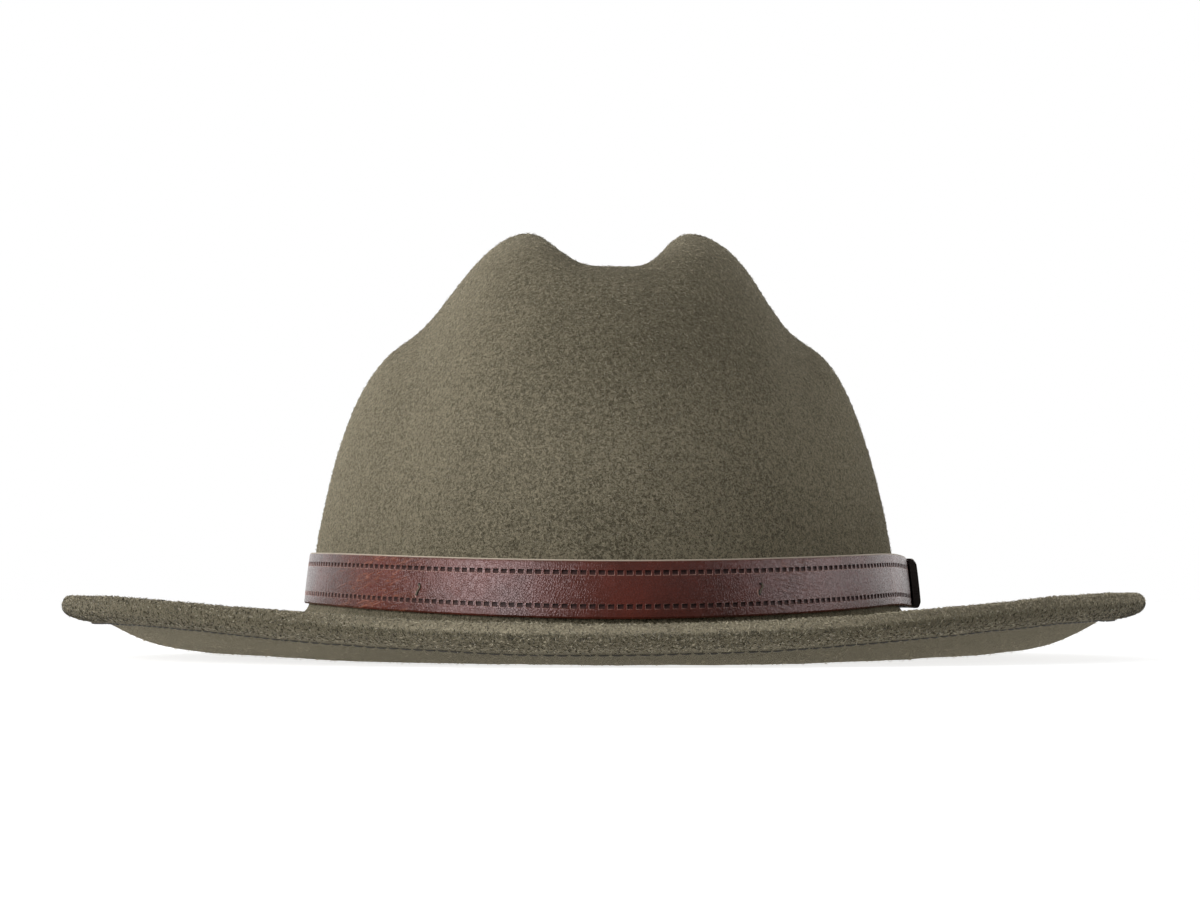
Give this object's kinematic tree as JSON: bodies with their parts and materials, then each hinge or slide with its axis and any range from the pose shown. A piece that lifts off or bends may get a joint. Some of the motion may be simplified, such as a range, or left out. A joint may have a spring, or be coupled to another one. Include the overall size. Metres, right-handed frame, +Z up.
{
  "type": "felt hat",
  "caption": "Felt hat with a creased crown, a dished brim with a stitched turned-under edge, and a leather band lapped at one side.",
  "frame": {"origin": "on the surface the hat rests on, below the middle of the head oval", "axes": "+Z up, -Y out of the front of the hat, +X to the wearer's left"},
  "size_m": [0.314, 0.3456, 0.1234],
  "materials": {
    "felt": "matt olive-brown wool felt with a short nap",
    "band_leather": "smooth waxed dark brown leather with two embossed rows"
  },
  "bodies": {
    "root": {"felt_body": "felt", "leather_band": "band_leather"}
  },
  "joints": []
}
